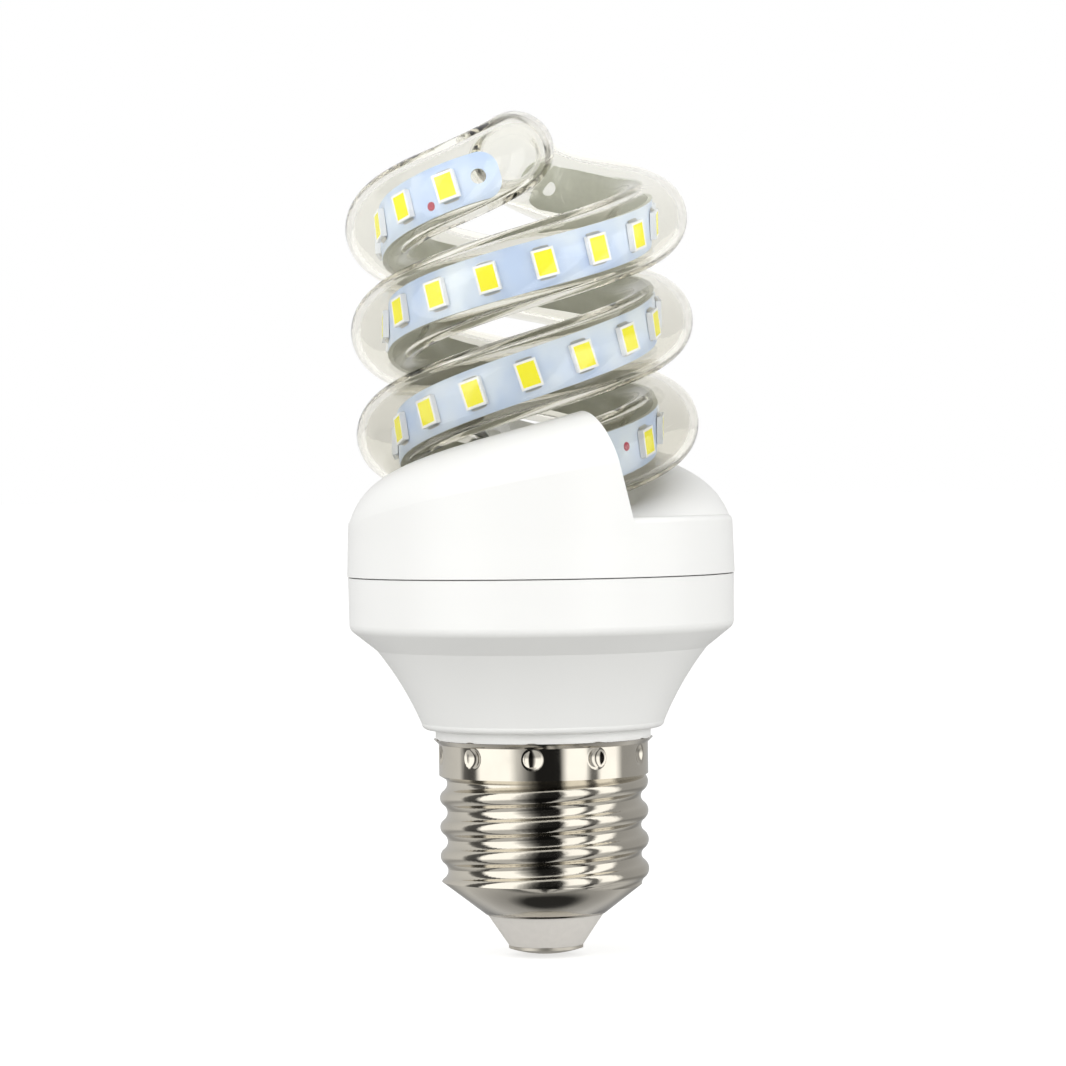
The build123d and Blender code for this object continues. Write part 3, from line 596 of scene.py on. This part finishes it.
class BULB_OT_stage(bpy.types.Operator):
    """Sets the floor, the lamps, the surroundings and the camera"""

    bl_idname = "bulb.stage"
    bl_label = "Stage"

    def execute(self, context):
        scene = context.scene
        scene.view_settings.view_transform = "Standard"
        # Both walls of both strands, and the boards between them, take many bounces
        scene.cycles.max_bounces = 24
        scene.cycles.transmission_bounces = 24
        scene.cycles.glossy_bounces = 8
        scene.cycles.use_denoising = True
        self.floor(scene)
        self.surroundings(scene)
        for lamp in LAMPS:
            self.lamp(scene, *lamp)
        self.camera(scene)
        return {"FINISHED"}

    def seen(self, tree, path):
        """1 for what the eye sees, straight or through glass, and 0 for light and reflections."""
        through = node(tree, "ShaderNodeMath", {
            0: path.outputs["Transmission Depth"], 1: 1.0}, operation="MINIMUM")
        either = node(tree, "ShaderNodeMath", {
            0: path.outputs["Is Camera Ray"], 1: through.outputs[0]}, operation="MAXIMUM")
        return either.outputs[0]

    def floor(self, scene):
        """Pale floor: white to the eye and through glass, with its own soft shade for its light.

        Reflections pass it by: the surroundings give the metal what it shows from below.
        """
        material, tree, _ = blank("white_floor")
        seen = self.seen(tree, node(tree, "ShaderNodeLightPath"))
        glow = node(tree, "ShaderNodeMath", {0: seen, 1: FLOOR_GLOW}, operation="MULTIPLY")
        shade = node(tree, "ShaderNodeBsdfDiffuse", {"Color": FLOOR_SHADE})
        light = node(tree, "ShaderNodeEmission", {"Strength": glow.outputs[0]})
        close(tree, node(tree, "ShaderNodeAddShader", {0: shade.outputs[0], 1: light.outputs[0]}))
        mesh = bpy.data.meshes.new("floor")
        corners = [
            (FLOOR_HALF * x, FLOOR_HALF * y, FLOOR_HEIGHT)
            for x, y in ((-1, -1), (1, -1), (1, 1), (-1, 1))
        ]
        mesh.from_pydata(corners, [], [(0, 1, 2, 3)])
        mesh.materials.append(material)
        piece = bpy.data.objects.new("floor", mesh)
        scene.collection.objects.link(piece)
        piece.visible_glossy = False

    def surroundings(self, scene):
        """White room: white to the eye, through glass and in its reflections, softer as light.

        The metal, which is never quite sharp, shows soft boxes and dark flags round the room.
        """
        world = bpy.data.worlds.new("studio")
        scene.world = world
        world.use_nodes = True
        tree = world.node_tree
        tree.nodes.clear()
        path = node(tree, "ShaderNodeLightPath")
        way = node(tree, "ShaderNodeTexCoord").outputs["Generated"]
        height = node(tree, "ShaderNodeSeparateXYZ", {0: way})
        # Round the room: soft boxes and dark flags, by the angle from the front, dimmer low down
        turn = node(tree, "ShaderNodeTexGradient", {"Vector": way}, gradient_type="RADIAL")
        stops = [(0.25 + angle / 360.0, level) for angle, level in ROOM]
        room = self.ramp(tree, turn.outputs["Fac"], stops)
        dim = node(tree, "ShaderNodeMapRange", {
            "Value": height.outputs["Z"], "From Min": ROOM_DIM[0], "From Max": ROOM_DIM[1],
            "To Min": ROOM_WHITE, "To Max": ROOM_DIM_SHARE * ROOM_WHITE,
        })
        round_about = node(tree, "ShaderNodeMath", {
            0: room, 1: dim.outputs[0]}, operation="MULTIPLY")
        # Over the bulb: an even ceiling
        high = node(tree, "ShaderNodeMapRange", {
            "Value": height.outputs["Z"], "From Min": CEILING[0], "From Max": CEILING[1]})
        upper = node(tree, "ShaderNodeMix", {
            0: high.outputs[0], "A": round_about.outputs[0], "B": CEILING_LEVEL})
        # Under the bulb: grey, with a dark patch towards the back
        toward = node(tree, "ShaderNodeVectorMath", {
            0: way, 1: DARK_PATCH}, operation="DOT_PRODUCT")
        under = self.ramp(tree, toward.outputs["Value"], UNDER)
        low = node(tree, "ShaderNodeMapRange", {
            "Value": height.outputs["Z"], "From Min": UNDER_HEIGHT[0], "From Max": UNDER_HEIGHT[1]})
        behind = node(tree, "ShaderNodeMapRange", {
            "Value": height.outputs["Y"], "From Min": UNDER_DEPTH[0], "From Max": UNDER_DEPTH[1]})
        low_behind = node(tree, "ShaderNodeMath", {
            0: low.outputs[0], 1: behind.outputs[0]}, operation="MULTIPLY")
        mirror = node(tree, "ShaderNodeMix", {
            0: low_behind.outputs[0], "A": upper.outputs[0], "B": under})
        # Glass mirrors sharply: an even white, with the soft boxes brighter
        boxes = node(tree, "ShaderNodeMapRange", {
            "Value": room, "From Min": BOX_WHITE, "From Max": 1.0,
            "To Min": 0.0, "To Max": BOX_SHINE,
        })
        window = node(tree, "ShaderNodeMapRange", {
            "Value": height.outputs["Z"], "From Min": BOX_TOP[0], "From Max": BOX_TOP[1]})
        shine = node(tree, "ShaderNodeMath", {
            0: boxes.outputs[0], 1: window.outputs[0], 2: 1.0}, operation="MULTIPLY_ADD")
        soft = node(tree, "ShaderNodeMix", {
            0: path.outputs["Is Glossy Ray"], "A": ROOM_LIGHT, "B": mirror.outputs[0]})
        mirrored = node(tree, "ShaderNodeMix", {
            0: path.outputs["Is Singular Ray"], "A": soft.outputs[0], "B": shine.outputs[0]})
        level = node(tree, "ShaderNodeMix", {
            0: self.seen(tree, path), "A": mirrored.outputs[0], "B": 1.0})
        light = node(tree, "ShaderNodeBackground", {
            "Color": (1, 1, 1, 1), "Strength": level.outputs[0]})
        node(tree, "ShaderNodeOutputWorld", {"Surface": light.outputs[0]})

    def ramp(self, tree, value, stops):
        """Grey level that goes straight from stop to stop, each a position and a level."""
        made = node(tree, "ShaderNodeValToRGB", {0: value})
        elements = made.color_ramp.elements
        while len(elements) < len(stops):
            elements.new(0.5)
        for element, (position, level) in zip(elements, stops):
            element.position = position
            element.color = (level, level, level, 1.0)
        return made.outputs[0]

    def lamp(self, scene, name, at, size, watts):
        """Soft box turned towards the middle of the bulb, hidden from reflections."""
        light = bpy.data.lights.new(name, "AREA")
        light.shape = "RECTANGLE"
        light.size, light.size_y = size
        light.energy = watts
        lamp = bpy.data.objects.new(name, light)
        lamp.location = at
        aim = Vector(LAMP_AIM) - lamp.location
        lamp.rotation_euler = aim.to_track_quat("-Z", "Y").to_euler()
        lamp.visible_glossy = False
        scene.collection.objects.link(lamp)

    def camera(self, scene):
        """Long lens at the eye's height, level and a little rolled, framed by its shift."""
        sizes = scene.bulb_sizes
        lens = bpy.data.cameras.new("eye")
        lens.sensor_width = SENSOR
        lens.lens = SENSOR * IMAGE_SCALE * sizes.eye_distance / IMAGE
        lens.shift_x = (IMAGE / 2 - IMAGE_AXIS) / IMAGE
        lens.shift_y = (IMAGE_EYE - IMAGE / 2) / IMAGE
        lens.clip_start, lens.clip_end = 0.01, 50.0
        eye = bpy.data.objects.new("eye", lens)
        c, s = np.cos(EYE_ROLL), np.sin(EYE_ROLL)
        eye.matrix_world = Matrix((
            (c, s, 0, 0),
            (0, 0, -1, -sizes.eye_distance),
            (-s, c, 0, sizes.eye_height),
            (0, 0, 0, 1),
        ))
        scene.collection.objects.link(eye)
        scene.camera = eye


class BULB_PT_panel(bpy.types.Panel):
    """Sidebar panel with the bulb's values and steps"""

    bl_label = "Spiral LED bulb"
    bl_space_type = "VIEW_3D"
    bl_region_type = "UI"
    bl_category = "Bulb"

    def draw(self, context):
        for group in (context.scene.bulb_colours, context.scene.bulb_sizes):
            for key in group.__annotations__:
                self.layout.prop(group, key)
        for step in STEPS:
            self.layout.operator(step.bl_idname)


STEPS = (
    BULB_OT_glass, BULB_OT_mouldings, BULB_OT_screw_cap, BULB_OT_led_boards, BULB_OT_board_details,
    BULB_OT_driver, BULB_OT_stage,
)
CLASSES = (BulbColours, BulbSizes, *STEPS, BULB_PT_panel)


def register():
    """Registers the classes and the scene's values."""
    for item in CLASSES:
        bpy.utils.register_class(item)
    bpy.types.Scene.bulb_colours = PointerProperty(type=BulbColours)
    bpy.types.Scene.bulb_sizes = PointerProperty(type=BulbSizes)


def unregister():
    """Removes what register added."""
    del bpy.types.Scene.bulb_sizes
    del bpy.types.Scene.bulb_colours
    for item in reversed(CLASSES):
        bpy.utils.unregister_class(item)


def main():
    """Runs every step in order."""
    register()
    bpy.ops.bulb.glass()
    bpy.ops.bulb.mouldings()
    bpy.ops.bulb.screw_cap()
    bpy.ops.bulb.led_boards()
    bpy.ops.bulb.board_details()
    bpy.ops.bulb.driver()
    bpy.ops.bulb.stage()


if __name__ == "__main__":
    main()
